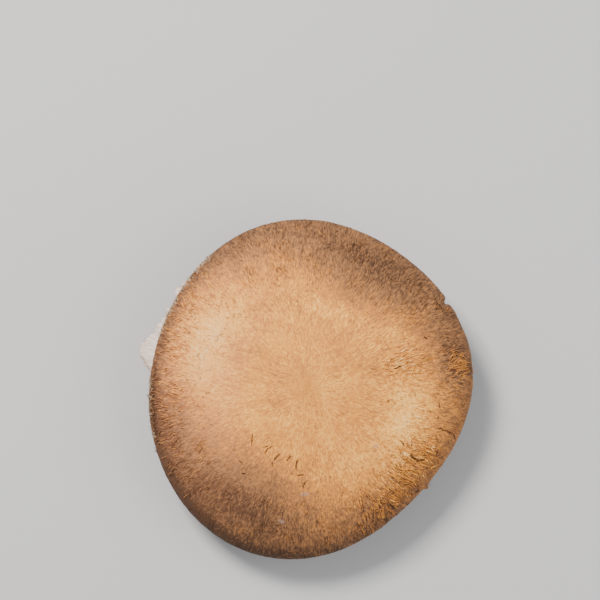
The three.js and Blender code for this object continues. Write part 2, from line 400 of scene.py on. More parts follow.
def grid_normals(points):
    """Unit normals of a grid whose columns wrap round, from the differences between its neighbours."""
    around = np.roll(points, -1, axis=1) - np.roll(points, 1, axis=1)
    return unit(np.cross(np.gradient(points, axis=0), around))


def channels(*values):
    """Colour channels side by side."""
    return np.stack(np.broadcast_arrays(*values), axis=-1)


def skin_point(bearing, slope):
    """The skin at a bearing and a slope: 0 at the crown, 1 at the widest line, and 2 under the roll."""
    turn = -np.maximum(0, slope - 1) * math.pi / 2
    dome_radius = rim_radius(bearing) * dome_share(slope)
    radius = dome_radius - ROLL_WIDTH / 2 * (1 - np.cos(turn))
    height = np.where(slope > 1, RIM_BELLY * (1 + np.sin(turn)), skin_height(dome_radius, bearing))
    return in_cap(radius, bearing, height)


def skin_axes(bearing, slope):
    """The skin's point there, its outward normal, and how far it moves with the slope and the bearing."""
    step = 0.004
    point = skin_point(bearing, slope)
    down = (skin_point(bearing, slope + step) - point) / step
    around = (skin_point(bearing + step, slope) - point) / step
    return point, unit(np.cross(down, around)), down, around


def combed(bearing, slope, turn, length, width, thickness, lift, rows, columns):
    """Pointed fibres that lie along the skin, as grids of shape (count, rows, columns, 3).

    A fibre starts at its bearing and slope and runs outwards, turned by turn radians. With s from 0 to 1
    along it, it stands lift * s**2 over the skin, and its section is a ring of columns corners with the
    size (1 - s)**0.6, closed to a point at both ends.
    """
    _, _, down, around = skin_axes(bearing, slope)
    slope_step = length * np.cos(turn) / np.linalg.norm(down, axis=-1)
    bearing_step = length * np.sin(turn) / np.linalg.norm(around, axis=-1)
    s = np.linspace(0, 1, rows)[None, :]
    here = slope[:, None] + slope_step[:, None] * s
    point, normal, down, around = skin_axes(bearing[:, None] + bearing_step[:, None] * s, here)
    line = point + normal * (lift[:, None] * s**2 - 0.05)[..., None]
    along = unit(down * slope_step[:, None, None] + around * bearing_step[:, None, None])
    side = unit(np.cross(normal, along))
    body = (1 - s) ** 0.6 * np.minimum(1, s * (rows - 1))
    corner = math.pi / 2 + np.arange(columns) * 2 * math.pi / columns
    across = (width[:, None] / 2 * body)[..., None] * np.cos(corner)
    through = thickness / 2 * body[..., None] * np.sin(corner)
    return line[:, :, None] + side[:, :, None] * across[..., None] + normal[:, :, None] * through[..., None]


def slivers(root, along, up, length, width, thickness, lift, sway):
    """Straight thin points, as grids with the rows and corners of TUFT_GRID.

    With s from 0 at the root to 1 at the tip, the middle line is root + along * length * s
    + up * lift * s**2 + side * sway * s**2, and the section round it is a diamond that narrows as
    (1 - s)**0.7 and closes at both ends.
    """
    s = np.linspace(0, 1, TUFT_GRID[0])[None, :, None]
    side = unit(np.cross(along, up))
    line = root[:, None] + along[:, None] * (length[:, None, None] * s)
    line = line + up[:, None] * (lift[:, None, None] * s**2) + side[:, None] * (sway[:, None, None] * s**2)
    body = (1 - s) ** 0.7 * np.minimum(1, s / 0.15)
    corners = np.array([[1, 0], [0, 1], [-1, 0], [0, -1]]) / 2
    across = side[:, None, None] * (width[:, None, None, None] * corners[None, None, :, :1])
    through = up[:, None, None] * (thickness * corners[None, None, :, 1:])
    return line[:, :, None] + (across + through) * body[:, :, None]


# Materials

def paint(code):
    """An sRGB hex code as linear red, green, blue and alpha."""
    parts = [int(code[i : i + 2], 16) / 255 for i in (1, 3, 5)]
    return (*(c / 12.92 if c <= 0.04045 else ((c + 0.055) / 1.055) ** 2.4 for c in parts), 1)


def add(tree, kind, inputs=None, **settings):
    """Adds a shader node, sets it, and links or fills its inputs."""
    made = tree.nodes.new("ShaderNode" + kind)
    for key, value in settings.items():
        setattr(made, key, value)
    for key, value in (inputs or {}).items():
        if isinstance(value, bpy.types.NodeSocket):
            tree.links.new(value, made.inputs[key])
        else:
            made.inputs[key].default_value = value
    return made


def maths(tree, operation, a, b=0.0, c=0.0):
    """The result of a math node."""
    return add(tree, "Math", {0: a, 1: b, 2: c}, operation=operation).outputs[0]


def vector_maths(tree, operation, a, b=(0, 0, 0)):
    """The result of a vector math node."""
    return add(tree, "VectorMath", {0: a, 1: b}, operation=operation).outputs[0]


def mix(tree, share, a, b):
    """b over a by share, as colours."""
    return add(tree, "Mix", {0: share, 6: a, 7: b}, data_type="RGBA").outputs[2]


def swayed(tree, pattern, strength, base):
    """The base, moved by strength times how far a noise is from its middle."""
    return maths(tree, "MULTIPLY_ADD", maths(tree, "SUBTRACT", pattern, 0.5), strength, base)


def noise(tree, point, size, detail=2.0):
    """Noise about 0.5 whose features are size millimetres across."""
    return add(tree, "TexNoise", {"Vector": point, "Scale": 1 / size, "Detail": detail}).outputs["Fac"]


def ramp(tree, share, stops):
    """A colour for a share, from (place, hex code) stops."""
    made = add(tree, "ValToRGB", {0: share})
    elements = made.color_ramp.elements
    while len(elements) < len(stops):
        elements.new(0.5)
    for element, (place, code) in zip(elements, stops, strict=True):
        element.position = place
        element.color = paint(code)
    return made.outputs["Color"]


def scaled(tree, share, low, high, to_low=0.0, to_high=1.0):
    """A share moved from one range to another on an S-curve."""
    values = {"Value": share, "From Min": low, "From Max": high, "To Min": to_low, "To Max": to_high}
    return add(tree, "MapRange", values, interpolation_type="SMOOTHSTEP").outputs["Result"]


def millimetres(tree, leant):
    """Object coordinates in millimetres, in the cap's frame if leant is true."""
    place = Matrix()
    if leant:
        place = (Matrix.Translation((0, 0, CAP_LIFT)) @ Matrix.Rotation(CAP_LEAN, 4, "X")).inverted()
    values = {
        "Vector": add(tree, "TexCoord").outputs["Object"],
        "Location": place.to_translation(),
        "Rotation": place.to_euler(),
        "Scale": (1 / MM, 1 / MM, 1 / MM),
    }
    return add(tree, "Mapping", values).outputs["Vector"]


def polar(tree, point):
    """The point's distance from the cap's axis, and its heading from it."""
    flat = vector_maths(tree, "MULTIPLY", point, (1, 1, 0))
    radius = add(tree, "VectorMath", {0: flat}, operation="LENGTH").outputs["Value"]
    return radius, vector_maths(tree, "NORMALIZE", flat)


def radial_noise(tree, point, width, length, detail=2.0):
    """Noise drawn out along the radii, with streaks of one width from the crown to the rim.

    It is read on three cylinders, and each of them shows where the radius is near its own.
    """
    radius, heading = polar(tree, point)
    rise = add(tree, "CombineXYZ", {"Z": maths(tree, "MULTIPLY", radius, width / length)}).outputs[0]
    result = None
    for ring, inner_edge in NOISE_RINGS:
        on_ring = vector_maths(tree, "MULTIPLY", heading, (ring, ring, 0))
        tone = noise(tree, vector_maths(tree, "ADD", on_ring, rise), width, detail)
        if result is None:
            result = tone
        else:
            share = scaled(tree, radius, inner_edge - 5, inner_edge + 5)
            result = add(tree, "Mix", {0: share, 2: result, 3: tone}).outputs[0]
    return result


def new_material(name, roughness, sheen=0.0):
    """A material with its node tree and shader."""
    material = bpy.data.materials.new(name)
    material.use_nodes = True
    tree = material.node_tree
    shader = tree.nodes["Principled BSDF"]
    shader.inputs["Roughness"].default_value = roughness
    shader.inputs["Sheen Weight"].default_value = sheen
    return material, tree, shader


def shade_channels(tree):
    """The mesh's own shade: red, green, blue and alpha as numbers."""
    read = add(tree, "Attribute", attribute_name="shade")
    split = add(tree, "SeparateColor", {0: read.outputs["Color"]})
    return (*split.outputs, read.outputs["Alpha"])


def bumped(tree, shader, height, depth):
    """Gives the shader a bump of that depth in millimetres."""
    made = add(tree, "Bump", {"Height": height, "Distance": depth * MM, "Strength": 1.0})
    tree.links.new(made.outputs["Normal"], shader.inputs["Normal"])


def warped(tree, point, size, reach):
    """The point moved by up to half of reach by noise of that size."""
    drift = add(tree, "TexNoise", {"Vector": point, "Scale": 1 / size, "Detail": 1.0}).outputs["Color"]
    drift = vector_maths(tree, "SUBTRACT", drift, (0.5, 0.5, 0.5))
    return vector_maths(tree, "ADD", point, vector_maths(tree, "MULTIPLY", drift, (reach, reach, reach)))


def along_line(tree, point, x, y, heading, half):
    """How far the point is from (x, y) along a heading in radians, as a multiple of half."""
    step = (math.cos(heading) / half, math.sin(heading) / half, 0)
    reached = add(tree, "VectorMath", {0: point, 1: step}, operation="DOT_PRODUCT").outputs["Value"]
    return maths(tree, "SUBTRACT", reached, x * step[0] + y * step[1])


def spindles(tree, point, shapes):
    """How deep the point is in the deepest of some bowed spindles: 0 outside and 1 on the middle line."""
    deepest = 0.0
    for x, y, length, width, heading, bow in shapes:
        turn = math.radians(heading)
        half_width = 0.6 * width
        along = along_line(tree, point, x, y, turn, length / 2)
        across = along_line(tree, point, x, y, turn + math.pi / 2, half_width)
        squared = maths(tree, "MULTIPLY", along, along)
        taper = maths(tree, "SUBTRACT", 1.0, maths(tree, "MULTIPLY", squared, squared))
        across = maths(tree, "MULTIPLY_ADD", taper, -bow / half_width, across)
        inside = maths(tree, "SUBTRACT", taper, maths(tree, "ABSOLUTE", across))
        deepest = maths(tree, "MAXIMUM", deepest, inside)
    return deepest


def cap_material():
    """Tan skin that darkens to the rim: felted, mottled, cracked and bruised, with pale flesh inside.

    Red is how dark the skin is, green how pink, blue how rough, and alpha how much is flesh. The fibres of
    real skin are about 0.1 mm wide, and their noise is drawn 0.46 mm wide, because finer doesn't show.
    """
    material, tree, shader = new_material("mushroom_cap_skin", 0.72)
    shader.inputs["Specular IOR Level"].default_value = 0.12
    dark, pink, rough, flesh = shade_channels(tree)
    point = millimetres(tree, leant=True)
    combed_point = warped(tree, point, size=11, reach=5.0)
    fine = radial_noise(tree, combed_point, width=0.46, length=1.4, detail=3.0)
    coarse = radial_noise(tree, combed_point, width=1.5, length=6.0)
    mottle = noise(tree, point, size=8.0, detail=3.0)
    blotch = noise(tree, point, size=2.4, detail=3.0)
    grain = noise(tree, point, size=0.6)
    radius, _ = polar(tree, point)
    streaked = maths(tree, "MULTIPLY_ADD", rough, 0.4, scaled(tree, radius, 14, 40, 0.66, 0.8))
    streaks = swayed(tree, coarse, 0.36, swayed(tree, fine, 1.4, 0.0))
    tone = maths(tree, "MULTIPLY_ADD", streaks, streaked, dark)
    tone = swayed(tree, mottle, 0.18, tone)
    tone = swayed(tree, blotch, 0.2, tone)
    tone = swayed(tree, grain, 0.3, tone)
    tone = maths(tree, "MULTIPLY_ADD", tone, 0.8, 0.2)
    pale_half = ((0.0, "#FFD592"), (0.2, "#FFBC5C"), (0.42, "#D88C3E"))
    brown_half = ((0.6, "#A87245"), (0.8, "#7B583E"), (1.0, "#4C3729"))
    skin = ramp(tree, tone, pale_half + brown_half)
    skin = mix(tree, maths(tree, "MULTIPLY", pink, 0.28), skin, paint("#E59C72"))
    wobbly = warped(tree, point, size=0.8, reach=0.9)
    bruise = maths(tree, "MULTIPLY", spindles(tree, wobbly, BRUISES), blotch)
    skin = mix(tree, scaled(tree, bruise, 0.0, 0.4, 0.0, 0.35), skin, paint("#B79C92"))
    # Painted shade in the cracks: a dark line along each, where the bump also carves the skin down.
    crack = spindles(tree, wobbly, CRACKS)
    skin = mix(tree, scaled(tree, crack, 0.0, 0.7, 0.0, 0.85), skin, paint("#4E332E"))
    # Painted shade in the pits: dark dots where the bump dips.
    pit = scaled(tree, noise(tree, combed_point, size=1.2), 0.6, 0.71)
    pit = maths(tree, "MULTIPLY", pit, scaled(tree, radius, 22, 38))
    skin = mix(tree, maths(tree, "MULTIPLY", pit, 0.52), skin, paint("#6E4B36"))
    tree.links.new(mix(tree, flesh, skin, paint("#E4D0B2")), shader.inputs["Base Color"])
    height = maths(tree, "MULTIPLY_ADD", blotch, 0.14, maths(tree, "MULTIPLY", grain, 0.05))
    height = maths(tree, "MULTIPLY_ADD", maths(tree, "MULTIPLY", coarse, streaked), 0.2, height)
    height = maths(tree, "MULTIPLY_ADD", maths(tree, "MULTIPLY", fine, streaked), 0.24, height)
    height = maths(tree, "MULTIPLY_ADD", pit, -0.14, height)
    bumped(tree, shader, maths(tree, "MULTIPLY_ADD", crack, -CRACK_DEPTH, height), 1.0)
    return material


def gill_material():
    """Dark brown gills with paler edges. Red is the share from the root to the edge."""
    material, tree, shader = new_material("mushroom_gills", 0.7)
    depth, jitter, _, _ = shade_channels(tree)
    point = millimetres(tree, leant=True)
    tone = maths(tree, "MULTIPLY_ADD", noise(tree, point, size=2.5, detail=3.0), 0.45, depth)
    tone = maths(tree, "MULTIPLY_ADD", jitter, 0.35, tone)
    colour = ramp(tree, tone, ((0.1, "#2A1912"), (0.8, "#4B3125"), (0.96, "#6C4C3B"), (1.0, "#866555")))
    tree.links.new(colour, shader.inputs["Base Color"])
    return material


def stem_material():
    """Cream stem with brown fibres. Red is how brown it is, and green is 1 on the cut face."""
    material, tree, shader = new_material("mushroom_stem", 0.68)
    shader.inputs["Subsurface Weight"].default_value = 0.08
    shader.inputs["Subsurface Radius"].default_value = (0.002, 0.0012, 0.0008)
    brown, cut, _, _ = shade_channels(tree)
    point = millimetres(tree, leant=False)
    drawn_out = vector_maths(tree, "MULTIPLY", point, (1, 1, 0.12))
    fibre = noise(tree, drawn_out, size=0.8, detail=3.0)
    blotch = noise(tree, point, size=5.0)
    tone = swayed(tree, blotch, 0.5, swayed(tree, fibre, 1.0, brown))
    side = ramp(tree, tone, ((0.0, "#F0E4CF"), (0.4, "#D9C3A2"), (0.75, "#A98861"), (1.0, "#6F4F34")))
    pith = noise(tree, point, size=1.6, detail=4.0)
    face_tone = maths(tree, "MULTIPLY_ADD", pith, 0.6, brown)
    face = ramp(tree, face_tone, ((0.25, "#EADBC2"), (0.6, "#CDB38E"), (1.0, "#8A6643")))
    tree.links.new(mix(tree, cut, side, face), shader.inputs["Base Color"])
    bumped(tree, shader, maths(tree, "MULTIPLY_ADD", fibre, 1.0, maths(tree, "MULTIPLY", pith, 0.4)), 0.3)
    return material


def veil_material():
    """Pale felt, browner at its torn edge. Red is 1 at the edge, and green is how dark the rest is."""
    material, tree, shader = new_material("mushroom_veil", 0.75, sheen=0.1)
    shader.inputs["Subsurface Weight"].default_value = 0.1
    shader.inputs["Subsurface Radius"].default_value = (0.0015, 0.001, 0.0007)
    edge, dark, _, _ = shade_channels(tree)
    point = millimetres(tree, leant=True)
    fibre = radial_noise(tree, point, width=0.5, length=4.0, detail=3.0)
    # The edge's brown is partly its frays and partly painted shade.
    tone = maths(tree, "MULTIPLY_ADD", edge, 0.7, swayed(tree, fibre, 1.1, dark))
    colour = ramp(tree, tone, ((0.0, "#F7ECE6"), (0.4, "#DFC8BC"), (0.8, "#A48069"), (1.0, "#6B4F3C")))
    tree.links.new(colour, shader.inputs["Base Color"])
    bumped(tree, shader, fibre, 0.5)
    return material


# Pieces

def tuftiness(bearing, share):
    """How rough the skin is at a place, 0 to 1: a bell over each patch of tufts."""
    rough = np.zeros_like(share)
    for toward, middle, around, inward, _, _ in TUFT_PATCHES:
        patch = near(bearing, toward, 1.3 * around) * bell(share, middle, 1.6 * inward)
        rough = np.maximum(rough, patch)
    return rough


def skin_darkness(bearing, share, points):
    """How dark the skin is: tan at the crown, darker to the rim, with two brown sides and a pale one."""
    dark = CROWN_DARKNESS + RIM_DARKNESS * smooth(0.58, 1.0, share)
    for change, toward, spread, begins, full, fades, ends, part in SKIN_TONES:
        reach = smooth(begins, full, share) * (1 - part * smooth(fades, ends, share))
        dark = dark + change * near(bearing, toward, spread) * reach
    # The first band is painted shade in the groove.
    for change, toward, spread, middle, width in SKIN_BANDS:
        dark = dark + change * near(bearing, toward, spread) * bell(share, middle, width)
    return dark + 0.04 * ripple(points, 26, 5) + 0.03 * ripple(points, 9, 6)


def lip(bearing, slope):
    """How far the cap's pale margin stands out: an uneven bell over the widest line, on the right."""
    uneven = 0.65 + 0.35 * np.sin(31 * bearing + 2 * np.sin(13 * bearing))
    return near(bearing, MARGIN_BEARING, MARGIN_SPREAD) * uneven * bell(slope, MARGIN_SLOPE, MARGIN_WIDTH)


def seam(bearing, share):
    """How far the skin has split near the rim's left edge: a line of short gaps."""
    split = np.zeros_like(bearing + share)
    for at in FRAYED_AT:
        split = np.maximum(split, near(bearing, at, 2.4))
    return split * bell(share, SEAM_AT, SEAM_WIDTH)


def pinkness(bearing, share):
    """How pink the skin is: most on the left, between the crown and the rim."""
    return near(bearing, 172, 52) * smooth(0.3, 0.55, share) * (1 - 0.6 * smooth(0.88, 0.97, share))


def cap_surface():
    """The cap's base grid, from the crown over the dome, round the roll of the rim and in to the stem."""
    bearing = np.linspace(0, 2 * math.pi, CAP_COLUMNS, endpoint=False)[None, :]
    rim = rim_radius(bearing)
    notch = 0
    for at, width, depth in RIM_DAMAGE:
        notch = notch + depth * near(bearing, at, math.degrees(width / RIM_RADIUS))
    swing = np.linspace(0, math.pi / 2, DOME_ROWS)[:, None]
    dome_radius = rim * np.sin(swing) ** (2 / DOME_SHAPE)
    roll = np.linspace(0, ROLL_END, ROLL_ROWS + 1)[1:, None]
    roll_radius = rim - ROLL_WIDTH / 2 * (1 - np.cos(roll))
    inward = np.linspace(0, 1, CEILING_ROWS)[1:, None]
    outer = ceiling_radius(bearing)
    ceiling = np.concatenate([outer + (STEM_HEAD_RADIUS - outer) * inward, 0 * outer])
    radius = np.concatenate([dome_radius, roll_radius, ceiling])
    height = np.concatenate([
        skin_height(dome_radius, bearing),
        RIM_BELLY * (1 + np.sin(roll)) + 0 * rim,
        ceiling_height(ceiling, bearing),
    ])
    share = np.concatenate([dome_radius / rim, np.ones_like(roll_radius), np.ones_like(ceiling)])
    slope = np.concatenate([swing, math.pi / 2 - roll, np.full((CEILING_ROWS, 1), math.pi)]) / (math.pi / 2)
    radius = radius - notch * smooth(0.955, 1.0, radius / rim)
    skin = np.concatenate([np.ones(DOME_ROWS), np.linspace(1, 0.1, ROLL_ROWS), np.zeros(CEILING_ROWS)])
    return bearing, share, slope, in_cap(radius, bearing, height), skin[:, None]


def make_cap(material):
    """The cap: its base grid, moved along its normals by dents, fibres and rough patches."""
    bearing, share, slope, points, skin = cap_surface()
    rough = tuftiness(bearing + 0 * share, share)
    radius = share * RIM_RADIUS
    fibres = ripple(radial(bearing + 0 * radius, radius, 50, 4), 2.3, 21, 2)
    relief = 0.16 * ripple(points, 13, 11) + 0.07 * ripple(points, 4.5, 12)
    relief = relief + fibres * (0.03 + 0.04 * smooth(0.5, 0.9, share) + 0.16 * rough)
    relief = relief + 0.22 * rough * ripple(points, 2.6, 13, 2)
    relief = relief * smooth(0.05, 0.3, share) * smooth(0.0, 0.35, skin)
    relief = relief * (1 - 0.4 * smooth(0.9, 1.0, share))
    relief = relief + MARGIN_STAND * lip(bearing, slope)
    groove = near(bearing, GROOVE_BEARING, GROOVE_SPREAD) * bell(share, GROOVE_AT, GROOVE_WIDTH)
    relief = relief - GROOVE_DEPTH * groove - SEAM_DEPTH * seam(bearing, share)
    points = points + grid_normals(points) * relief[..., None]
    # Painted shade: darker skin between the tufts' fibres, and in the seam's gaps.
    dark = skin_darkness(bearing, share, points) + 0.12 * rough + SEAM_PAINTED_SHADE * seam(bearing, share)
    flesh = np.maximum(smooth(0.6, 0.1, skin + 0 * dark), 0.32 * lip(bearing, slope))
    colour = channels(dark, pinkness(bearing, share), rough, flesh)
    grid = (lifted(points)[None], colour[None], False)
    return make_piece("cap_skin", [grid], material, "cap")


def fibre_colour(bearing, slope, rows, columns, drift):
    """The skin's shade at the roots of fibres, with a drift of each one's own and a paler tip."""
    point = skin_point(bearing, slope)
    share = dome_share(slope)
    dark = skin_darkness(bearing, share, point) + drift
    along = np.linspace(0, 1, rows)[None, :, None]
    dark = dark[:, None, None] + 0.06 - 0.16 * along + np.zeros((1, 1, columns))
    return channels(dark, pinkness(bearing, share)[:, None, None], 0.0, 0.0)


def off_nick(bearing, slope, highest):
    """The slopes, kept up the dome to the highest one where the rim is nicked."""
    return np.where(near(bearing, RIM_DAMAGE[0][0], 1.4) > 0.2, np.minimum(slope, highest), slope)


def drawn_sizes(draw, sizes, count):
    """Lengths, widths and lifts for count fibres, drawn in that order."""
    return [draw.uniform(least, most, count) for least, most in sizes]


def make_felt(material):
    """Short fibres that lie on the skin: sparse at mid radius, and close at the rim and round its roll."""
    draw = np.random.default_rng(17)
    bearing = draw.uniform(0, 2 * math.pi, FELT_FIBRES)
    slope = 1.42 - 1.0 * draw.uniform(0, 1, FELT_FIBRES) ** 1.25
    slope = off_nick(bearing, slope, 0.72)
    turn = draw.normal(0, 0.22, FELT_FIBRES) + 0.4 * ripple(skin_point(bearing, slope), 17, 18)
    length, width, lift = drawn_sizes(draw, FELT_SIZES, FELT_FIBRES)
    points = combed(bearing, slope, turn, length, width, FELT_THICKNESS, lift, *FELT_GRID)
    colour = fibre_colour(bearing, slope, *FELT_GRID, draw.normal(0, 0.15, FELT_FIBRES))
    return make_piece("cap_felt", [(lifted(points), colour, False)], material)


def tuft_places(draw):
    """Bearings, slopes and tones of the lifted fibres: those of the patches, then the scattered ones."""
    bearings, slopes, tones = [], [], []
    for toward, middle, around, inward, count, tone in TUFT_PATCHES:
        tones.append(np.full(count, tone))
        bearings.append(np.radians(draw.normal(toward, around / 1.7, count)))
        share = np.clip(draw.normal(middle, inward / 1.5, count), 0.3, 0.999)
        slopes.append(dome_slope(share))
    bearings.append(draw.uniform(0, 2 * math.pi, SCATTERED_TUFTS))
    slopes.append(1.2 - 0.75 * draw.uniform(0, 1, SCATTERED_TUFTS) ** 1.3)
    tones.append(np.zeros(SCATTERED_TUFTS))
    bearing = np.concatenate(bearings)
    return bearing, off_nick(bearing, np.concatenate(slopes), 0.68), np.concatenate(tones)


def make_tufts(material):
    """Fibres that lift from the skin: dense in patches, few elsewhere, stray hairs, and the frayed rim."""
    draw = np.random.default_rng(31)
    bearing, slope, tone = tuft_places(draw)
    count = len(bearing)
    in_patch = np.arange(count) < count - SCATTERED_TUFTS
    turn = draw.normal(0, 0.3, count) + 0.4 * ripple(skin_point(bearing, slope), 17, 18)
    length, width, lift = drawn_sizes(draw, TUFT_SIZES, count)
    length = length * np.where(in_patch, 1.0, 0.7)
    lift = lift * np.where(in_patch, 1.0 - 0.6 * smooth(0.75, 0.9, slope), 0.3)
    points = combed(bearing, slope, turn, length, width, TUFT_THICKNESS, lift, *TUFT_GRID)
    drift = draw.normal(0, 0.13, count) + tone
    lying = (lifted(points), fibre_colour(bearing, slope, *TUFT_GRID, drift), False)
    return make_piece("cap_tufts", [lying, stray_hairs(draw), frayed_rim(draw)], material)


def stray_hairs(draw):
    """A few bundles of slivers that stand off the rim."""
    count = STRAY_SLIVERS * len(STRAY_HAIRS)
    bearing = np.radians(np.repeat(STRAY_HAIRS, STRAY_SLIVERS) + draw.normal(0, 0.4, count))
    slope = draw.uniform(0.95, 1.02, count)
    root, normal, down, around = skin_axes(bearing, slope)
    heading = unit(normal + unit(around) * draw.normal(0, 0.5, count)[:, None])
    root = root - 0.2 * normal
    length = draw.uniform(0.9, 1.7, count)
    width = draw.uniform(0.2, 0.4, count)
    points = slivers(root, heading, unit(-down), length, width, 0.2, 0 * length, 0.4 * length)
    return lifted(points), fibre_colour(bearing, slope, *TUFT_GRID, np.full(count, -0.15)), False


def frayed_rim(draw):
    """Short fibres in clumps on the left of the rim, where the skin has split: some cream, some brown."""
    bearing = np.take(FRAYED_AT, draw.integers(0, len(FRAYED_AT), FRAYED_FIBRES))
    bearing = np.radians(bearing + draw.normal(0, 1.6, FRAYED_FIBRES))
    slope = draw.normal(0.89, 0.022, FRAYED_FIBRES)
    turn = draw.normal(0, 0.5, FRAYED_FIBRES)
    length, width, lift = drawn_sizes(draw, FRAYED_SIZES, FRAYED_FIBRES)
    points = combed(bearing, slope, turn, length, width, TUFT_THICKNESS, lift, *TUFT_GRID)
    colour = fibre_colour(bearing, slope, *TUFT_GRID, draw.normal(0.1, 0.2, FRAYED_FIBRES))
    colour[..., 3] = 0.65 * smooth(0.2, 0.8, draw.uniform(0, 1, FRAYED_FIBRES))[:, None, None]
    return lifted(points), colour, False


def make_gills(material):
    """Gills of three lengths as thin waving sheets, and the bed that they hang from."""
    draw = np.random.default_rng(7)
    turns = np.tile(GILL_TURNS, FULL_GILLS)
    count = len(turns)
    spacing = 2 * math.pi / count
    bearing = (np.arange(count) + 0.5 + draw.uniform(-0.22, 0.22, count)) * spacing
    start = np.take(GILL_STARTS, turns) + draw.uniform(-0.4, 0.6, count) * np.where(turns > 0, 10, 1)
    outer = ceiling_radius(bearing) - GILL_INSET + draw.uniform(-0.5, 0.3, count)
    along = np.linspace(0, 1, GILL_ROWS)[None, :, None]
    depth, face = sheet_loop(4)
    bearing, start, outer = (value[:, None, None] for value in (bearing, start, outer))
    radius = outer + (start - outer) * along
    inward = (outer - radius) / (outer - GILL_STARTS[0])
    root = ceiling_height(radius, bearing) - GAP - BED_THICKNESS / 2
    rise = GILL_INNER_RISE * inward**8 + GILL_OUTER_RISE * (1 - inward) ** 6
    shallow = draw.uniform(-0.3, 0.5, count)[:, None, None] + 0.3 * (start > 30)
    free = GILL_EDGE + rise + shallow * (1 - inward)
    edge = free + (root - BED_THICKNESS / 2 - GILL_END_HEIGHT - free) * along**7
    edge = np.minimum(edge, root - 0.7)
    height = root + (edge - root) * depth
    thickness = GILL_ROOT_THICKNESS + (GILL_EDGE_THICKNESS - GILL_ROOT_THICKNESS) * depth
    ends = np.minimum(1, np.minimum(along, 1 - along) * 16)
    phase = draw.uniform(0, 2 * math.pi, count)[:, None, None]
    waving = draw.uniform(0.1, 0.34, count)[:, None, None] * depth * np.sin(radius / 2.6 + phase)
    aside = waving + (face - 0.5) * thickness * ends
    bearing_here = bearing + aside / radius
    points = in_cap(radius, bearing_here, height)
    jitter = draw.uniform(0, 1, count)[:, None, None]
    colour = channels(0.62 * depth**3 + 0 * radius, jitter + 0 * radius, 0.0, 0.0)
    around = np.linspace(0, 2 * math.pi, BED_COLUMNS, endpoint=False)[:, None]
    share, lower = sheet_loop(10)
    inner = GILL_STARTS[0] - 0.5
    bed_radius = inner + (ceiling_radius(around) - GILL_INSET / 2 - inner) * share
    bed = in_cap(bed_radius, around, ceiling_height(bed_radius, around) - GAP - BED_THICKNESS * lower)
    bed_grid = (lifted(bed)[None], channels(0.0, 0.4, 0.0, 0.0 * bed_radius)[None], True)
    return make_piece("gill_layer", [(lifted(points), colour, False), bed_grid], material, "gills")


def stem_radius(share, bearing):
    """Radius of the stem: a taper to the waist, a flare to the head, lobes, and the ring's ragged bell."""
    taper = np.sin(math.pi / 2 * np.minimum(1, share / STEM_WAIST_AT))
    flare = (STEM_HEAD_RADIUS - STEM_WAIST_RADIUS) * share**STEM_FLARE
    ring = RING_STAND * bell(share, RING_AT, RING_WIDTH)
    ragged = 0.75 + wave_sum(RING_TEARS, bearing)
    waist = STEM_FOOT_RADIUS + (STEM_WAIST_RADIUS - STEM_FOOT_RADIUS) * taper
    return waist + flare + ring * ragged + wave_sum(STEM_LOBES, bearing)


def make_stem(material):
    """The stem from head to foot: each point is between the level foot and the leaning head."""
    bearing = np.linspace(0, 2 * math.pi, STEM_COLUMNS, endpoint=False)[None, :]
    share = np.linspace(1, 0, STEM_ROWS)[:, None]
    side = stem_radius(share, bearing)
    drawn = radial(bearing + 0 * share, 30 * share + 0 * bearing, 13, 9)
    fibres = 0.2 * ripple(drawn, 1.9, 41, 2) + 0.14 * ripple(drawn, 5.0, 42)
    ring = bell(share, RING_AT, 1.4 * RING_WIDTH)
    side = side + fibres * (0.35 + 0.65 * smooth(0.02, 0.12, share)) + 0.2 * ring * ripple(drawn, 3, 43)
    cut = np.linspace(1, 0, STEM_CUT_ROWS)[:, None]
    head = side[:1] * np.linspace(0, 1, STEM_HEAD_ROWS + 1)[:-1, None]
    foot = (side[-1:] - STEM_EDGE) * cut
    radius = np.concatenate([head, side, foot])
    above, on_face = np.ones(STEM_HEAD_ROWS + STEM_ROWS), np.ones(STEM_CUT_ROWS)
    level = np.concatenate([np.ones(STEM_HEAD_ROWS), share[:, 0], 0 * on_face])[:, None]
    low = np.concatenate([STEM_EDGE * above, 0 * on_face])[:, None]
    x, y = radius * np.cos(bearing), radius * np.sin(bearing)
    top = lifted(np.stack([x, y, 0 * x + FLESH_LEVEL - GAP], axis=-1))
    bottom = np.stack([x, y, low + 0 * x], axis=-1) * MM
    points = bottom + (top - bottom) * level[..., None]
    on_cut = np.concatenate([0 * above, on_face])[:, None] + 0 * x
    brown = 0.12 + 0.3 * smooth(0.22, 0.0, level)
    brown = brown + 0.2 * smooth(RING_AT - 0.02, RING_AT - 0.1, level) * level
    brown = brown + 0.28 * bell(level, RING_AT - 0.03, 0.05)
    brown = brown + 0.1 * ripple(points / MM, 11, 44)
    brown = brown + on_cut * (0.1 - 0.15 * smooth(0, 8, radius) + 0.3 * smooth(10, 12.8, radius))
    grid = (points[None], channels(brown, on_cut, 0.0, 0.0)[None], False)
    return make_piece("stem_column", [grid], material, "stem")


def veil_length(bearing, along):
    """Length of the veil from the roll of the rim: a hem with tears and two flaps, short at both ends.

    A flap narrows to its tip on either side, over its own spread before the tip and after it, and is
    less torn than the rest.
    """
    flaps = 0
    for toward, length, before, after in VEIL_FLAPS:
        off = np.degrees(bearing) - toward
        flaps = flaps + length * np.clip(1 - np.maximum(-off / before, off / after), 0, 1)
    torn = wave_sum(VEIL_TEARS, bearing) * (1 - 0.6 * np.minimum(1, flaps / 4))
    whole = VEIL_LENGTH + torn + flaps
    return whole * np.sin(math.pi * (0.02 + 0.96 * along)) ** 0.35


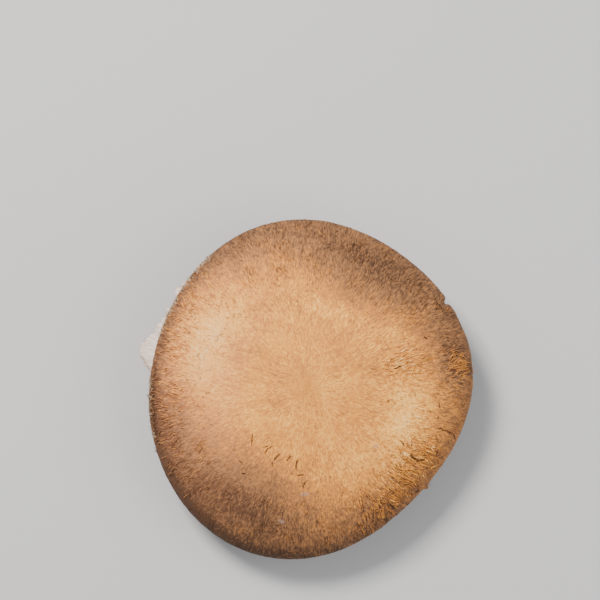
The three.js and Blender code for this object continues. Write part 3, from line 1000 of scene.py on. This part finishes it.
def veil_point(bearing, length, depth):
    """A point of the veil, which follows the roll of the rim to its lowest line and then goes outwards."""
    swing = np.minimum(-math.pi / 2, VEIL_START + length / VEIL_BEND)
    free = np.maximum(0, length - VEIL_BEND * (-math.pi / 2 - VEIL_START))
    radius = rim_radius(bearing) - ROLL_WIDTH / 2 + (ROLL_WIDTH / 2 + depth) * np.cos(swing) + free
    height = RIM_BELLY + (RIM_BELLY + depth) * np.sin(swing) - VEIL_DROOP * free
    crumple = 0.25 * np.minimum(1, free / 2) * np.sin(bearing * 67 + 0.9 * free)
    return in_cap(radius, bearing, height - np.abs(crumple))


def make_veil(material):
    """The torn sheet under the rim, thinner at its edge."""
    along = np.linspace(0, 1, VEIL_COLUMNS)[:, None]
    bearing = VEIL_TO + (VEIL_FROM - VEIL_TO) * along
    share, face = sheet_loop(VEIL_ROWS)
    ends = np.minimum(1, np.minimum(along, 1 - along) * 80)
    thickness = VEIL_THICKNESS * (1 - 0.65 * share**2) * ends
    depth = VEIL_CLEARANCE + VEIL_THICKNESS / 2 + (face - 0.5) * thickness
    points = veil_point(bearing, veil_length(bearing, along) * share, depth)
    dark = 0.1 + 0.1 * ripple(points, 6, 51) + 0 * share
    # Darker towards the torn edge, most on the flap: partly brown frays, partly painted shade.
    torn = share**7 * (0.3 + 0.7 * smooth(VEIL_BROWN_FROM, VEIL_BROWN_TO, bearing))
    grid = (lifted(points)[None], channels(torn, dark, 0.0, 0.0)[None], False)
    return make_piece("veil_shred", [grid], material, "veil")


def make_threads(material):
    """Pale torn threads along the veil's edge."""
    draw = np.random.default_rng(61)
    count = VEIL_THREADS
    along = draw.uniform(0.04, 0.96, count)
    bearing = VEIL_TO + (VEIL_FROM - VEIL_TO) * along
    edge = veil_length(bearing, along)
    middle = np.full(count, VEIL_CLEARANCE + VEIL_THICKNESS / 2)
    root = veil_point(bearing, edge * 0.93, middle)
    tip = veil_point(bearing, edge, middle)
    outward = unit(tip - root)
    around = np.stack([-np.sin(bearing), np.cos(bearing), 0 * bearing], axis=-1)
    up = unit(np.cross(outward, around))
    heading = unit(outward + around * draw.normal(0, 0.5, count)[:, None])
    length, width, lift = drawn_sizes(draw, THREAD_SIZES, count)
    points = slivers(root, heading, up, length, width, THREAD_THICKNESS, lift, draw.normal(0, 0.4, count))
    colour = channels(0.3, draw.uniform(0, 0.3, count)[:, None, None] + np.zeros((1, *TUFT_GRID)), 0.0, 0.0)
    return make_piece("veil_threads", [(lifted(points), colour, False)], material)


# Studio

def make_floor():
    """A plain grey surface under the mushroom, dark enough for the pale veil to show on it."""
    mesh = bpy.data.meshes.new("floor")
    corners = [(-3, -3, 0), (3, -3, 0), (3, 3, 0), (-3, 3, 0)]
    mesh.from_pydata(corners, [], [(0, 1, 2, 3)])
    material, _, shader = new_material("floor_paper", 0.9)
    shader.inputs["Base Color"].default_value = paint("#C2C4C9")
    mesh.materials.append(material)
    floor = bpy.data.objects.new("floor", mesh)
    bpy.context.collection.objects.link(floor)


def make_light(name, place, size, power, colour, aim=(0, 0, 0.02)):
    """A square area light that faces a point."""
    data = bpy.data.lights.new(name, "AREA")
    data.color = colour
    data.size = size
    data.energy = power
    light = bpy.data.objects.new(name, data)
    light.location = place
    light.rotation_euler = (Vector(aim) - Vector(place)).to_track_quat("-Z", "Y").to_euler()
    bpy.context.collection.objects.link(light)


def make_studio():
    """The surface, a warm key light from the upper left, a fill light from the right, and a soft world."""
    make_floor()
    make_light("key_light", (-0.35, 0.45, 0.9), size=0.28, power=16, colour=(1, 0.94, 0.85))
    make_light("fill_light", (0.7, -0.2, 0.7), size=0.8, power=4, colour=(1, 0.97, 0.92))
    world = bpy.data.worlds.new("studio")
    world.use_nodes = True
    world.node_tree.nodes["Background"].inputs["Color"].default_value = (1, 0.98, 0.95, 1)
    world.node_tree.nodes["Background"].inputs["Strength"].default_value = 0.55
    bpy.context.scene.world = world


def make_camera():
    """Straight down on the leant cap."""
    data = bpy.data.cameras.new("camera")
    data.lens = LENS
    camera = bpy.data.objects.new("camera", data)
    turn = Matrix.Rotation(-CAMERA_TILT, 4, "X")
    camera.matrix_world = Matrix.Translation(CAMERA_AIM + turn @ Vector((0, 0, CAMERA_DISTANCE))) @ turn
    bpy.context.collection.objects.link(camera)
    bpy.context.scene.camera = camera


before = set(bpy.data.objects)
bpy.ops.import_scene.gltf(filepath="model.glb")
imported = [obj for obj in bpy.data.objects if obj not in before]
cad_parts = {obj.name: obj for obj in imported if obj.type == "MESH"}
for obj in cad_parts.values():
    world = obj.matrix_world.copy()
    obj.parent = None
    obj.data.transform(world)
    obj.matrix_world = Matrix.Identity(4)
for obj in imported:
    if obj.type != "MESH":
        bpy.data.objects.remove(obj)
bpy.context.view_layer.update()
skin = cap_material()
make_cap(skin)
make_felt(skin)
make_tufts(skin)
make_gills(gill_material())
make_stem(stem_material())
veil = veil_material()
make_veil(veil)
make_threads(veil)
make_studio()
make_camera()
